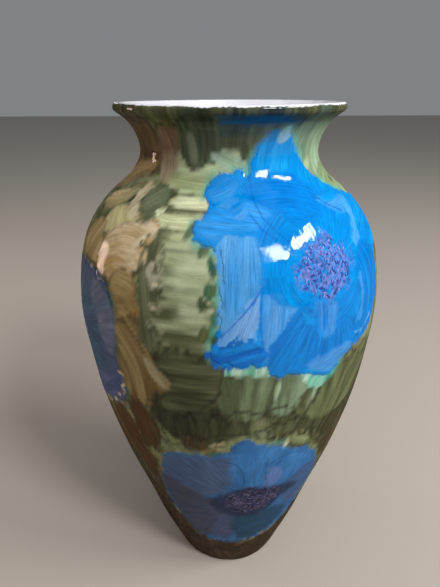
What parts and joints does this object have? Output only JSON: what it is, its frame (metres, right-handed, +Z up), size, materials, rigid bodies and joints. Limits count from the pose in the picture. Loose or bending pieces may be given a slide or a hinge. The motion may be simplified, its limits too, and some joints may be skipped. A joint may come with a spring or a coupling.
{
  "type": "flower vase",
  "caption": "Tall baluster vase in glazed ceramic with a wide shoulder, short neck and flared lip, painted with blue flowers on a green ground.",
  "frame": {"origin": "centre of the foot ring, on the plane that the vase stands on", "axes": "+Z up along the vase's axis of turning; -Y towards the front, midway between the front flower and the green ground beside it; +X to the right seen from the front"},
  "size_m": [0.1693, 0.1696, 0.3],
  "materials": {
    "bare_clay": "matte",
    "white_glaze": "gloss",
    "green_paint": "gloss",
    "blue_paint": "gloss",
    "violet_paint": "gloss"
  },
  "bodies": {
    "root": {"clay_body": "bare_clay", "white_glaze": "white_glaze", "green_ground": "green_paint", "front_flower": "blue_paint", "lower_flower": "blue_paint", "left_flower": "blue_paint", "right_flower": "blue_paint", "rear_flower": "blue_paint", "rear_lower_flower": "blue_paint", "flower_centres": "violet_paint"}
  },
  "joints": []
}
